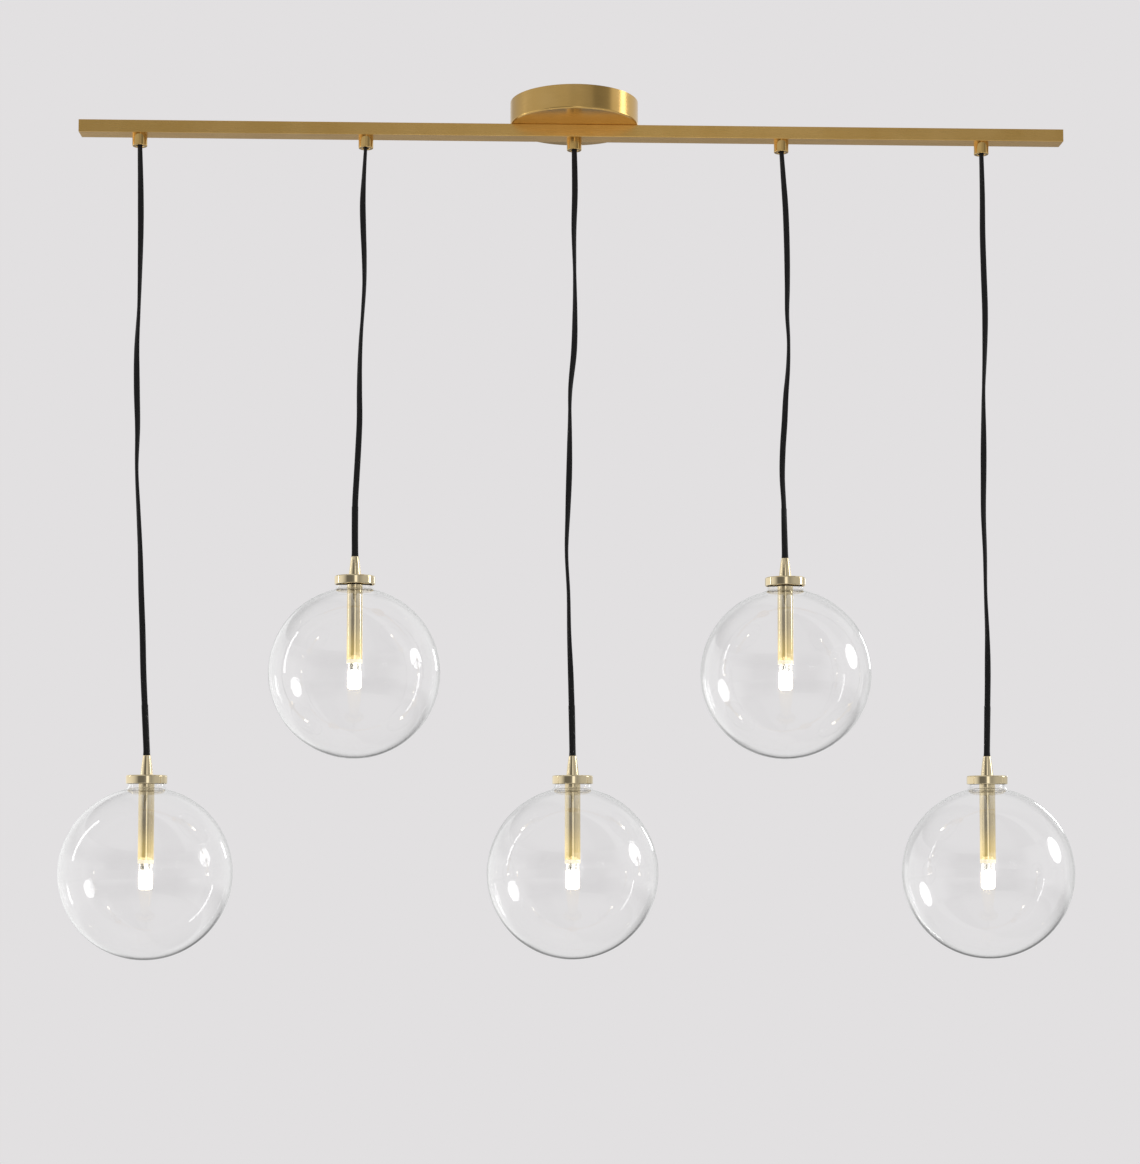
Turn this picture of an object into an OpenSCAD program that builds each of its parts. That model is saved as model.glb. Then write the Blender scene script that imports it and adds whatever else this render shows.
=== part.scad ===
// Five-light linear pendant: a round ceiling canopy, a straight square-edged brass bar under it,
// and five clear glass globes that hang from the bar on flat twin cords, long and short by turns.
// Millimetres. The origin is the centre of the canopy's open rim, on the ceiling. +Z is up, +X runs
// along the bar, and -Y faces the room. Pendants are numbered from 1 at the -X end.

/* [Canopy] */
// Outer diameter of the round ceiling canopy
canopy_d = 156; // [145:1:180]
// Height of the canopy's side wall
canopy_h = 29; // [26:0.5:45]
// Thickness of the canopy's spun brass
canopy_wall = 1.2; // [0.8:0.1:1.4]
// Outside radius of the canopy's lower edge
canopy_edge_r = 1.8; // [1.7:0.1:6]

/* [Ceiling bracket] */
// Thickness of the pressed steel bracket
bracket_t = 2; // [1.5:0.1:3]
// Width of the bracket's middle, which holds the slots
bracket_w = 30; // [26:1:40]
// Length of the bracket's wide middle
bracket_body_l = 112; // [106:1:124]
// Width of each bracket leg
bracket_leg_w = 14; // [10:1:20]
// Depth of each bracket leg below the ceiling
bracket_leg_h = 14; // [12:1:20]
// Distance between the centres of the two ceiling slots
slot_spacing = 70; // [60:1:76]
// Width of a ceiling slot
slot_w = 4.5; // [3.5:0.1:6]
// Length of a ceiling slot from end to end
slot_l = 16; // [10:1:20]
// Diameter of the cable hole in the bracket's middle
cable_hole_d = 16; // [10:1:20]

/* [Light bar] */
// Length of the bar with its end caps
bar_l = 1200; // [1150:10:1500]
// Height of the bar's rectangular tube
bar_h = 15; // [14:0.5:20]
// Depth of the bar's rectangular tube, from front to back
bar_w = 25; // [24:0.5:40]
// Wall of the bar's tube
bar_wall = 1.5; // [1:0.1:2]
// Radius of the tube's long edges
bar_edge_r = 0.6; // [0.4:0.1:1]
// Thickness of an end cap's outer plate
end_plate = 1.5; // [1:0.1:3]
// Length of an end cap's plug inside the tube
end_plug = 8; // [5:1:15]
// Distance between neighbours among the middle three pendants
inner_pitch = 254; // [240:1:265]
// Distance from pendant 1 to pendant 2
left_pitch = 274; // [250:1:285]
// Distance from pendant 4 to pendant 5
right_pitch = 247; // [240:1:285]

/* [Cord grips] */
// Outer diameter of the brass ferrule under the bar
ferrule_d = 18; // [16:0.5:22]
// Height of the ferrule
ferrule_h = 14; // [11:0.5:25]
// Diameter of the cord hole in the ferrule's bottom
mouth_d = 8.6; // [8.2:0.1:10]
// Radius that rounds the cord hole's rim
mouth_round = 1.2; // [0.6:0.1:2]
// Diameter of the nylon cord collet's body
collet_d = 12.8; // [12:0.1:13.6]
// Height of the collet's body inside the ferrule
collet_h = 7; // [5:0.5:8]

/* [Cords] */
// Width of the flat twin cord
cord_w = 7.3; // [6.5:0.1:7.6]
// Thickness of the flat twin cord
cord_t = 4.6; // [4.2:0.1:6]
// Length of cord that shows on pendants 1, 3 and 5
long_drop = 740; // [600:10:1200]
// Length of cord that shows on pendants 2 and 4
short_drop = 500; // [400:10:1000]

/* [Glands and caps] */
// Height of the tapered gland on each cap
gland_h = 23.5; // [18:0.5:35]
// Diameter of the gland at its top
gland_top_d = 9; // [8.8:0.1:10]
// Diameter of the gland where it sits on the cap
gland_foot_d = 15.2; // [14:0.1:18]
// Depth of the gland's socket for the cord's end
gland_socket = 6; // [4:0.5:10]
// Outer diameter of the globe's brass cap
cap_d = 49; // [47:0.5:56]
// Height of the cap
cap_h = 10.3; // [10:0.1:14]
// Wall of the cap
cap_wall = 1.5; // [1.2:0.1:1.6]
// Radius of the cap's upper edge
cap_edge_r = 1.8; // [1.6:0.1:2.6]

/* [Globes] */
// Outer diameter of the glass globe
globe_d = 206; // [180:1:230]
// Thickness of the blown glass
glass_t = 2; // [1.6:0.1:3]
// Length of neck between the cap and the start of the ball
neck_gap = 6; // [4:0.5:10]
// Radius that blends the neck into the ball
neck_blend_r = 8; // [4:0.5:10]
// How far the moulded ring on the neck stands out
neck_ring = 1.8; // [1.4:0.1:1.9]
// Thickness of the silicone gasket between glass and cap
gasket_t = 1.5; // [1:0.1:2]

/* [Lamps] */
// Outer diameter of the brass stem inside the globe
stem_d = 19; // [18.6:0.1:22]
// Length of the stem under the cap's top
stem_l = 99.5; // [80:0.5:120]
// Wall of the stem
stem_wall = 0.8; // [0.6:0.1:1]
// Length of the ceramic lamp holder inside the stem
holder_l = 18; // [14:1:30]
// Height of the holder's collar below the stem
collar_h = 4.5; // [3:0.5:8]
// Distance between the lamp's two pins
pin_gap = 9; // [8:0.5:10]
// Diameter of a lamp pin
pin_d = 1.3; // [1:0.1:1.6]
// Length of pin inside the holder
pin_l = 8; // [6:0.5:10]
// Diameter of the lamp's capsule
capsule_d = 16.4; // [14:0.1:17.5]
// Length of the lamp's capsule
capsule_l = 22; // [18:0.5:35]
// Height of the lamp's flat glass foot
foot_h = 9; // [6:0.5:12]
// Angle of the lamp's pins about the stem
lamp_turn = 55; // [0:5:90]

/* [Fasteners] */
// Outer diameter of the threaded tubes and shanks
thread_d = 9.8; // [9.6:0.1:9.9]
// Width of a lock nut across its flats
nut_w = 14; // [13.5:0.5:14.5]
// Thickness of a lock nut
nut_t = 3; // [2:0.1:3.5]
// Diameter of the canopy's grub screws
grub_d = 4; // [3:0.5:5]
// Length of a grub screw
grub_l = 8; // [6:0.5:10]
// Distance from the ceiling to a grub screw's centre
grub_z = 8; // [6:0.5:9]

/* [Hidden] */
pendants = [1, 2, 3, 4, 5];
pendant_parts = ["ferrule", "cord", "gland", "cap", "gasket", "globe", "stem", "holder", "leads", "lamp"];

$fn = 96;
brass = "#b39256";
steel = "#b9bcc0";
nylon = "#e8e6df";
ceramic = "#f4f2ec";
black = "#222222";
clear = [0.85, 0.9, 0.92, 0.3];
copper_red = "#8c2f22";

// Clearances
thread_fit = 0.1;
hole_fit = 0.2;
pin_fit = 0.08;
seat_gap = 0.3;

// Levels from the ceiling down
canopy_floor_z = -canopy_h + canopy_wall;
bar_top_z = -canopy_h;
bar_ceiling_z = bar_top_z - bar_wall;
bar_bottom_z = bar_top_z - bar_h;
bar_floor_z = bar_bottom_z + bar_wall;
collet_z = bar_bottom_z - collet_h;
mouth_z = bar_bottom_z - ferrule_h;

// Levels in a pendant, down from the top of its gland
cap_top = -gland_h;
cap_roof = cap_top - cap_wall;
cap_rim = cap_top - cap_h;
neck_top = cap_roof - gasket_t;
ring_tip_r = cap_d / 2 - cap_wall - seat_gap;
neck_r = ring_tip_r - neck_ring;
globe_r = globe_d / 2;
globe_z = cap_rim - neck_gap - sqrt(globe_r * globe_r - neck_r * neck_r);
stem_end = cap_roof - stem_l;
collar_end = stem_end - collar_h;
foot_end = collar_end - foot_h;
capsule_end = foot_end - capsule_l;

// The moulded ring under the neck's rim, and the washer that covers the rim
ring_foot = 3.1;
ring_chamfer = 0.8;
gasket_lap = 1.2;

// Threaded fittings
tube_gap = 24;
thread_spare = 2;
tube_bore_d = 7.2;
collet_bore_d = 5.8;
stem_plug = 6;
gland_shank = cap_wall + stem_plug + thread_spare;
gland_bore_d = 5.4;

// Wiring
bus_r = 1.2;
link_r = 1.05;
riser_r = 0.9;
lead_r = 0.8;
lead_gap = 3.2;
bus_y = bar_w / 2 - bar_wall - bus_r - seat_gap;
bus_z = bar_floor_z + bus_r + hole_fit / 2;
tap_z = bar_floor_z + nut_t + thread_spare + 2.5;
block_size = [36, 18, 14];
block_y = 40;
block_hole_r = 1.6;
block_entry = 5;

// Each cord's shape, from the ferrule's mouth to the top of its gland in equal steps of height.
// A point is how far the cord strays along the bar and towards the back, and how far it has
// twisted in degrees. The stray comes on top of an even lean from the ferrule to the head.
routes = [
    [[0, 0, -50], [0.5, 0, -15], [0, 0.5, 25], [-1.5, 1, 60], [-3.5, 1.5, 100], [-6.5, 1, 145],
     [-7, 0.5, 190], [-6.5, -0.5, 230], [-8, -1, 275], [-6.5, -1.5, 300], [-5, -1, 320],
     [-4.5, 0, 345], [-3.5, 0.5, 365], [-3, 0.5, 370], [-1.5, 0, 375], [0, 0, 380]],
    [[0, 0, 85], [-1.5, 0, 120], [-2, -0.5, 165], [-0.5, -1, 200], [1.5, -1, 225], [2.5, -0.5, 250],
     [1.5, 0, 265], [0, 0.5, 290], [-0.5, 1, 310], [0, 1, 330], [1, 0.5, 345], [0.5, 0, 360],
     [-0.5, 0, 365], [-1.5, 0, 365], [-1, 0, 370], [0, 0, 370]],
    [[0, 0, -45], [1, 0, 0], [0, 1, 40], [1, 1.5, 85], [1.5, 1, 130], [0.5, 0.5, 180],
     [-4, 0, 240], [-4.5, -0.5, 300], [-5, -1, 350], [-6.5, -1, 400], [-8, -0.5, 440],
     [-5.5, 0, 455], [-4.5, 0.5, 475], [-2.5, 0.5, 515], [-1, 0, 545], [0, 0, 560]],
    [[0, 0, -70], [2.5, 0, -45], [4.5, -0.5, -20], [5.5, -1, -5], [6, -0.5, 10], [6, 0, 30],
     [5.5, 0.5, 55], [7, 1, 80], [6, 1, 110], [3, 0.5, 140], [1, 0, 165], [-1.5, -0.5, 185],
     [-2.5, -0.5, 205], [-1, 0, 220], [-0.5, 0, 205], [0, 0, 190]],
    [[0, 0, -75], [1, 0.5, -50], [1, 1, -35], [2, 1, -20], [3, 0.5, 0], [2, 0, 40],
     [0, -0.5, 85], [-0.5, -1, 135], [-1, -1, 185], [-1.5, -0.5, 210], [0, 0, 235],
     [0.5, 0.5, 260], [2, 0.5, 295], [2, 0, 350], [1, 0, 370], [0, 0, 380]]
];
// How far each head hangs from its ferrule's axis along the bar, because its cord keeps a lean
head_lean = [16.5, -10.5, -2, 2, -1];
cord_sides = 8;

function drop(i) = i % 2 == 1 ? long_drop : short_drop;
function pendant_x(i) =
    i == 1 ? -inner_pitch - left_pitch :
    i == 5 ? inner_pitch + right_pitch :
    (i - 3) * inner_pitch;
function head_x(i) = pendant_x(i) + head_lean[i - 1];
function head_z(i) = mouth_z - drop(i);
function arc(centre, r, from, to, steps) =
    [for (s = [0 : steps]) let (a = from + (to - from) * s / steps) centre + r * [cos(a), sin(a)]];

// The cord's centre and twist at each ring, from the collet down into the gland's socket
function cord_stations(i) =
    let (route = routes[i - 1], last = len(route) - 1, x0 = pendant_x(i), lean = head_lean[i - 1])
    concat(
        [[x0, 0, collet_z, route[0][2]]],
        [for (k = [1 : last])
            [x0 + lean * k / last + route[k][0], route[k][1], mouth_z - drop(i) * k / last, route[k][2]]],
        [[head_x(i), 0, head_z(i) - gland_socket, route[last][2]]]
    );

// An eight-sided ring of the flat cord, turned by its twist
function cord_ring(s) =
    [for (j = [0 : cord_sides - 1])
        let (a = 360 * j / cord_sides, u = cord_w / 2 * cos(a), v = cord_t / 2 * sin(a))
        [s[0] + u * cos(s[3]) - v * sin(s[3]), s[1] + u * sin(s[3]) + v * cos(s[3]), s[2]]];

module at_pendant(i) {
    translate([pendant_x(i), 0, 0]) children();
}

module at_head(i) {
    translate([head_x(i), 0, head_z(i)]) children();
}

// A round rod from one height to another
module rod(r, low, high) {
    translate([0, 0, low]) cylinder(r = r, h = high - low);
}

// A round rod along Y between two places
module rod_y(r, near, far) {
    translate([0, near, 0]) rotate([-90, 0, 0]) cylinder(r = r, h = far - near);
}

// The rectangle that the bar, its bore and its plugs are cut from, with rounded corners
module bar_section(w, h, r) {
    polygon(concat(
        arc([w / 2 - r, h / 2 - r], r, 0, 90, 3),
        arc([r - w / 2, h / 2 - r], r, 90, 180, 3),
        arc([r - w / 2, r - h / 2], r, 180, 270, 3),
        arc([w / 2 - r, r - h / 2], r, 270, 360, 3)
    ));
}

module bar_extrusion(length, inset, edge_r) {
    translate([0, 0, (bar_top_z + bar_bottom_z) / 2])
        rotate([90, 0, 90])
            linear_extrude(length, center = true)
                bar_section(bar_w - 2 * inset, bar_h - 2 * inset, edge_r);
}

// Pressed steel strip that screws to the ceiling, with a leg at each end for the canopy's screws
module ceiling_bracket() {
    canopy_bore_r = canopy_d / 2 - canopy_wall;
    leg_x = sqrt(pow(canopy_bore_r, 2) - pow(bracket_leg_w / 2, 2)) - seat_gap;
    color(steel)
    difference() {
        union() {
            translate([-bracket_body_l / 2, -bracket_w / 2, -bracket_t])
                cube([bracket_body_l, bracket_w, bracket_t]);
            translate([-leg_x, -bracket_leg_w / 2, -bracket_t])
                cube([2 * leg_x, bracket_leg_w, bracket_t]);
            for (side = [0, 180])
                rotate([0, 0, side])
                    translate([leg_x - bracket_t, -bracket_leg_w / 2, -bracket_leg_h])
                        cube([bracket_t, bracket_leg_w, bracket_leg_h]);
        }
        rod(cable_hole_d / 2, -2 * bracket_t, bracket_t);
        for (side = [-1, 1])
            translate([side * slot_spacing / 2, 0, 0])
                ceiling_slot();
        for (side = [0, 180])
            rotate([0, 0, side])
                translate([leg_x - 2 * bracket_t, 0, -grub_z])
                    rotate([0, 90, 0])
                        cylinder(d = grub_d + thread_fit, h = 3 * bracket_t);
    }
}

module ceiling_slot() {
    reach = (slot_l - slot_w) / 2;
    for (end = [-1, 1])
        translate([end * reach, 0, 0])
            rod(slot_w / 2, -2 * bracket_t, bracket_t);
    translate([-reach, -slot_w / 2, -2 * bracket_t])
        cube([2 * reach, slot_w, 3 * bracket_t]);
}

// Headless screws through the canopy's wall into the bracket's legs, flush outside
module grub_screws() {
    color(brass)
    for (side = [0, 180])
        rotate([0, 0, side])
            translate([canopy_d / 2 - grub_l, 0, -grub_z])
                rotate([0, 90, 0])
                    difference() {
                        cylinder(d = grub_d, h = grub_l);
                        translate([0, 0, grub_l - grub_d / 2])
                            cylinder(d = grub_d / 2, h = grub_d, $fn = 6);
                    }
}

// Spun brass cup, open towards the ceiling
module canopy() {
    r = canopy_d / 2;
    inner_edge_r = canopy_edge_r - canopy_wall;
    color(brass)
    difference() {
        rotate_extrude()
            polygon(concat(
                [[0, canopy_floor_z], [0, -canopy_h]],
                arc([r - canopy_edge_r, canopy_edge_r - canopy_h], canopy_edge_r, -90, 0, 6),
                [[r, 0], [r - canopy_wall, 0]],
                arc([r - canopy_edge_r, canopy_edge_r - canopy_h], inner_edge_r, 0, -90, 4)
            ));
        for (side = [-1, 1])
            translate([side * tube_gap / 2, 0, 0])
                rod(thread_d / 2 + hole_fit, -canopy_h - canopy_wall, canopy_floor_z + canopy_wall);
        for (side = [0, 180])
            rotate([0, 0, side])
                translate([r - 3 * canopy_wall, 0, -grub_z])
                    rotate([0, 90, 0])
                        cylinder(d = grub_d + hole_fit, h = 6 * canopy_wall);
    }
}

// Two short threaded tubes that clamp the bar to the canopy and let the wires through
module threaded_tubes() {
    color(steel)
    for (side = [-1, 1])
        translate([side * tube_gap / 2, 0, 0])
            difference() {
                rod(thread_d / 2, bar_ceiling_z - nut_t - thread_spare, canopy_floor_z + nut_t + thread_spare);
                rod(tube_bore_d / 2, bar_ceiling_z - canopy_h, canopy_floor_z + canopy_h);
            }
}

// Hexagonal nuts: five on the collets, and one on each end of both threaded tubes
module lock_nuts() {
    color(steel) {
        for (i = pendants)
            at_pendant(i) lock_nut(bar_floor_z);
        for (side = [-1, 1])
            translate([side * tube_gap / 2, 0, 0]) {
                lock_nut(bar_ceiling_z - nut_t);
                lock_nut(canopy_floor_z);
            }
    }
}

module lock_nut(foot_z) {
    translate([0, 0, foot_z])
        difference() {
            cylinder(r = nut_w / 2 / cos(30), h = nut_t, $fn = 6);
            rod(thread_d / 2 + thread_fit, -nut_t, 2 * nut_t);
        }
}

// Nylon block that joins the house supply to the bar's wires
module terminal_block() {
    color(nylon)
    translate([0, block_y, canopy_floor_z])
        difference() {
            translate([-block_size[0] / 2, -block_size[1] / 2, 0]) cube(block_size);
            for (pole = [-1 : 1])
                translate([pole * tube_gap / 2, 0, block_size[2] / 2])
                    rod_y(block_hole_r, -block_size[1], block_size[1]);
        }
}

// Line and neutral: each runs along the bar's floor, up a threaded tube and into the terminal
// block, with a tap that drops into each collet
module bar_wires() {
    color(copper_red)
    for (side = [-1, 1]) {
        link_z = bar_ceiling_z - nut_t - thread_spare - link_r - seat_gap;
        supply_z = canopy_floor_z + block_size[2] / 2;
        bus_start = pendant_x(1) - 2 * riser_r;
        bus_end = pendant_x(5) + 2 * riser_r;
        translate([bus_start, side * bus_y, bus_z])
            rotate([0, 90, 0]) cylinder(r = bus_r, h = bus_end - bus_start);
        translate([side * tube_gap / 2, 0, 0]) {
            translate([0, side * bus_y, 0]) rod(riser_r, bus_z, link_z);
            translate([0, 0, link_z]) rod_y(link_r, min(0, side * bus_y) - link_r, max(0, side * bus_y) + link_r);
            rod(riser_r, link_z, supply_z);
            translate([0, 0, supply_z]) rod_y(link_r, -link_r, block_y - block_size[1] / 2 + block_entry);
        }
        for (i = pendants)
            at_pendant(i) {
                inner = side * lead_gap / 2;
                outer = side * bus_y;
                translate([0, outer, 0]) rod(riser_r, bus_z, tap_z);
                translate([0, 0, tap_z]) rod_y(link_r, min(inner, outer) - link_r, max(inner, outer) + link_r);
                translate([0, inner, 0]) rod(riser_r, collet_z, tap_z);
            }
    }
}

// Drawn brass tube with holes for the threaded tubes above and the collets below
module light_bar() {
    color(brass)
    difference() {
        bar_extrusion(bar_l - 2 * end_plate, 0, bar_edge_r);
        bar_extrusion(bar_l, bar_wall, bar_edge_r / 2);
        for (side = [-1, 1])
            translate([side * tube_gap / 2, 0, 0])
                rod(thread_d / 2 + hole_fit, bar_ceiling_z - bar_wall, bar_top_z + bar_wall);
        for (i = pendants)
            at_pendant(i) rod(thread_d / 2 + hole_fit, bar_bottom_z - bar_wall, bar_floor_z + bar_wall);
    }
}

module end_caps() {
    color(brass)
    for (side = [-1, 1]) {
        translate([side * (bar_l - end_plate) / 2, 0, 0])
            bar_extrusion(end_plate, 0, bar_edge_r);
        translate([side * (bar_l / 2 - end_plate - end_plug / 2), 0, 0])
            bar_extrusion(end_plug, bar_wall + hole_fit / 2, bar_edge_r / 2);
    }
}

// Nylon strain reliefs: a body under the bar that grips the cord, and a threaded shank above
module cord_collets() {
    color(nylon)
    for (i = pendants)
        at_pendant(i)
            difference() {
                union() {
                    rod(collet_d / 2, collet_z, bar_bottom_z);
                    rod(thread_d / 2, bar_bottom_z - 1, bar_floor_z + nut_t + thread_spare);
                }
                rod(collet_bore_d / 2, collet_z - 1, 0);
            }
}

// Brass sleeve over the collet, with a rounded mouth that the cord leaves by
module ferrule(i) {
    r = ferrule_d / 2;
    cavity_r = collet_d / 2 + hole_fit;
    cavity_end = collet_z - hole_fit;
    edge = 0.7;
    color(brass)
    at_pendant(i)
        rotate_extrude()
            polygon(concat(
                [[cavity_r, bar_bottom_z], [cavity_r, cavity_end], [mouth_d / 2, cavity_end]],
                arc([mouth_d / 2 + mouth_round, mouth_z + mouth_round], mouth_round, 180, 270, 5),
                arc([r - edge, mouth_z + edge], edge, 270, 360, 3),
                [[r, bar_bottom_z]]
            ));
}

// Flat twin cord in black braid: one tube of oval section that twists as it hangs
module cord(i) {
    stations = cord_stations(i);
    rings = len(stations);
    n = cord_sides;
    color(black)
    polyhedron(
        points = [for (s = stations) each cord_ring(s)],
        faces = concat(
            [[for (j = [0 : n - 1]) j]],
            [for (k = [0 : rings - 2]) for (j = [0 : n - 1])
                [k * n + j, (k + 1) * n + j, (k + 1) * n + (j + 1) % n]],
            [for (k = [0 : rings - 2]) for (j = [0 : n - 1])
                [k * n + j, (k + 1) * n + (j + 1) % n, k * n + (j + 1) % n]],
            [[for (j = [n - 1 : -1 : 0]) (rings - 1) * n + j]]
        )
    );
}

// Turned brass gland: a slim taper with a socket for the cord, and a threaded shank below
module gland(i) {
    top_r = gland_top_d / 2;
    foot_r = gland_foot_d / 2;
    socket_r = cord_w / 2 + seat_gap / 2;
    swell = 0.85;
    lip = 0.3;
    color(brass)
    at_head(i)
        rotate_extrude()
            polygon(concat(
                [[gland_bore_d / 2, cap_top - gland_shank], [gland_bore_d / 2, -gland_socket],
                 [socket_r, -gland_socket], [socket_r, 0], [top_r - lip, 0]],
                [for (s = [0 : 6]) let (t = s / 6)
                    [top_r + (foot_r - top_r) * pow(t, swell), -lip - (gland_h - lip) * t]],
                [[thread_d / 2, cap_top], [thread_d / 2, cap_top - gland_shank]]
            ));
}

// Spun brass cap with a rolled ring inside that the glass neck's ring rests on
module cap(i) {
    r = cap_d / 2;
    bore_r = r - cap_wall;
    hole_r = thread_d / 2 + hole_fit;
    ring_r = neck_r + seat_gap;
    ring_top = neck_top - ring_foot - seat_gap;
    rim_r = 0.65;
    color(brass)
    at_head(i)
        rotate_extrude()
            polygon(concat(
                [[hole_r, cap_roof], [hole_r, cap_top]],
                arc([r - cap_edge_r, cap_top - cap_edge_r], cap_edge_r, 90, 0, 6),
                arc([r - rim_r, cap_rim + rim_r], rim_r, 0, -90, 3),
                [[bore_r, cap_rim], [bore_r, ring_top - 2 * ring_chamfer], [ring_r, ring_top - ring_chamfer],
                 [ring_r, ring_top], [bore_r, ring_top + bore_r - ring_r], [bore_r, cap_roof]]
            ));
}

// Silicone washer between the cap's roof and the rim of the glass
module gasket(i) {
    color(nylon)
    at_head(i)
        difference() {
            rod(neck_r + gasket_lap, neck_top, cap_roof);
            rod(neck_r - glass_t - gasket_lap, neck_top - gasket_t, cap_roof + gasket_t);
        }
}

// Blown clear ball with a short moulded neck, one wall of even thickness
module globe(i) {
    color(clear)
    at_head(i)
        rotate_extrude() globe_section();
}

module globe_section() {
    bore_r = neck_r - glass_t;
    bite = 0.05;
    blend = [neck_r + neck_blend_r,
             sqrt(pow(globe_r + neck_blend_r - bite, 2) - pow(neck_r + neck_blend_r, 2))];
    foot_angle = atan2(blend[1], blend[0]) + 180;
    rim_y = neck_top - globe_z;
    translate([0, globe_z])
        difference() {
            union() {
                circle(r = globe_r);
                polygon(concat(
                    [[0, globe_r / 2]],
                    arc(blend, neck_blend_r, foot_angle, 180, 6),
                    [[neck_r, rim_y - ring_foot], [ring_tip_r, rim_y - ring_foot + neck_ring],
                     [ring_tip_r, rim_y - ring_chamfer], [ring_tip_r - ring_chamfer, rim_y], [0, rim_y]]
                ));
            }
            circle(r = globe_r - glass_t);
            translate([-bore_r, 0]) square([2 * bore_r, 2 * globe_r]);
            translate([-2 * globe_r, -2 * globe_r]) square([2 * globe_r, 4 * globe_r]);
        }
}

// Brass tube down to the middle of the globe, with a threaded plug in its top
module stem(i) {
    color(brass)
    at_head(i)
        difference() {
            rod(stem_d / 2, stem_end, cap_roof);
            rod(stem_d / 2 - stem_wall, stem_end - 1, cap_roof - stem_plug);
            rod(thread_d / 2 + thread_fit, cap_roof - stem_plug - 1, cap_roof + 1);
        }
}

// White ceramic lamp holder, with two contact holes in its face
module holder(i) {
    color(ceramic)
    at_head(i)
        difference() {
            union() {
                rod(stem_d / 2 - stem_wall - hole_fit, stem_end - 1, stem_end + holder_l);
                rod(stem_d / 2, collar_end, stem_end);
            }
            rotate([0, 0, lamp_turn])
                for (side = [-1, 1])
                    translate([side * pin_gap / 2, 0, 0])
                        rod(pin_d / 2 + pin_fit, collar_end - 1, collar_end + pin_l + 1);
        }
}

// The two insulated leads from the cord's end to the lamp holder
module leads(i) {
    color(nylon)
    at_head(i)
        for (side = [-1, 1])
            translate([0, side * lead_gap / 2, 0])
                rod(lead_r, stem_end + holder_l, -gland_socket);
}

// Two-pin capsule lamp: pins, a flat glass foot and a round-ended capsule
module lamp(i) {
    r = capsule_d / 2;
    shoulder = 2;
    tip = 3.5;
    foot_w = pin_gap + 4.6;
    foot_t = 5.4;
    color(ceramic)
    at_head(i)
        rotate([0, 0, lamp_turn]) {
            rotate_extrude()
                polygon(concat(
                    [[0, capsule_end]],
                    arc([r - tip, capsule_end + tip], tip, -90, 0, 5),
                    arc([r - shoulder, foot_end - shoulder], shoulder, 0, 90, 3),
                    [[0, foot_end]]
                ));
            translate([-foot_w / 2, -foot_t / 2, foot_end - 1])
                cube([foot_w, foot_t, foot_h + 1]);
            for (side = [-1, 1])
                translate([side * pin_gap / 2, 0, 0])
                    rod(pin_d / 2, collar_end - 1, collar_end + pin_l);
        }
}

ceiling_bracket();
grub_screws();
canopy();
threaded_tubes();
lock_nuts();
terminal_block();
bar_wires();
light_bar();
end_caps();
cord_collets();
for (i = pendants) {
    ferrule(i);
    cord(i);
    gland(i);
    cap(i);
    gasket(i);
    globe(i);
    stem(i);
    holder(i);
    leads(i);
    lamp(i);
}
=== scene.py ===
"""The looks of a linear pendant light with five clear glass globes: cords, sleeves, globes, lamps and finishes.
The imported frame: the origin is on the ceiling, +X runs along the bar and -Y faces the camera.
Sizes are in millimetres here. The camera's place and the studio are in metres."""

import math

import bmesh
import bpy
from mathutils import Matrix, Vector


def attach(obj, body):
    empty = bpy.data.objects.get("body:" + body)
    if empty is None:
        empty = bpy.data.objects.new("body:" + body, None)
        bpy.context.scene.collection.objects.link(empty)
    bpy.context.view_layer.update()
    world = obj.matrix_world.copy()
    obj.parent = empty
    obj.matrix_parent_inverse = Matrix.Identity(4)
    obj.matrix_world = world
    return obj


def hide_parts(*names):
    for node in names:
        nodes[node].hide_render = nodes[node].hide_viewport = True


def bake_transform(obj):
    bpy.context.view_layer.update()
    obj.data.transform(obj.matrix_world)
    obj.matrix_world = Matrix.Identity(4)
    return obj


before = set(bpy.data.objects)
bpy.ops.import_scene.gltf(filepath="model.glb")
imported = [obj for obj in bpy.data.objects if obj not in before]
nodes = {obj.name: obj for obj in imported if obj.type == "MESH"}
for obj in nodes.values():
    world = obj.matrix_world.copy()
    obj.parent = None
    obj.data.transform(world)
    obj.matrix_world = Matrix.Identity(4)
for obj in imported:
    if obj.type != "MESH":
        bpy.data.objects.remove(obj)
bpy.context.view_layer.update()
scene = bpy.context.scene
scene.view_settings.view_transform = "Standard"

MM = 0.001
PENDANTS = range(5)
# Points closer together than this many millimetres are one
WELD = 0.001

# The pendant's sizes, as the part's source has them. Heights on a head count from its gland's top
PENDANT_X = [-528, -254, 0, 254, 501]
HEAD_LEAN = [16.5, -10.5, -2, 2, -1]
DROP = [740, 500, 740, 500, 740]
COLLET_Z = -51
MOUTH_Z = -58
GLAND_SOCKET = 6
CORD_W = 7.3
CORD_T = 4.6
NECK_TOP = -26.5
NECK_R = 20.9
NECK_BLEND_R = 8
RING_TIP_R = 22.7
RING_FOOT = 3.1
RING_CHAMFER = 0.8
GLOBE_R = 103
GLASS_T = 2
GLOBE_Z = -140.66
STEM_END = -124.5
COLLAR_END = -129
FOOT_END = -138
CAPSULE_END = -160
CAPSULE_D = 16.4
FOOT_W = 13.6
FOOT_T = 5.4
PIN_GAP = 9
PIN_D = 1.3
PIN_L = 8

# Rings along a cord between two stations of its route, and points round each ring
CORD_STEPS = 6
CORD_SIDES = 24
# The hollow between the two cores, as a share of the thickness, and its half width as a share of the cord's
CORD_GROOVE = 0.1
GROOVE_W = 0.3

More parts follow.
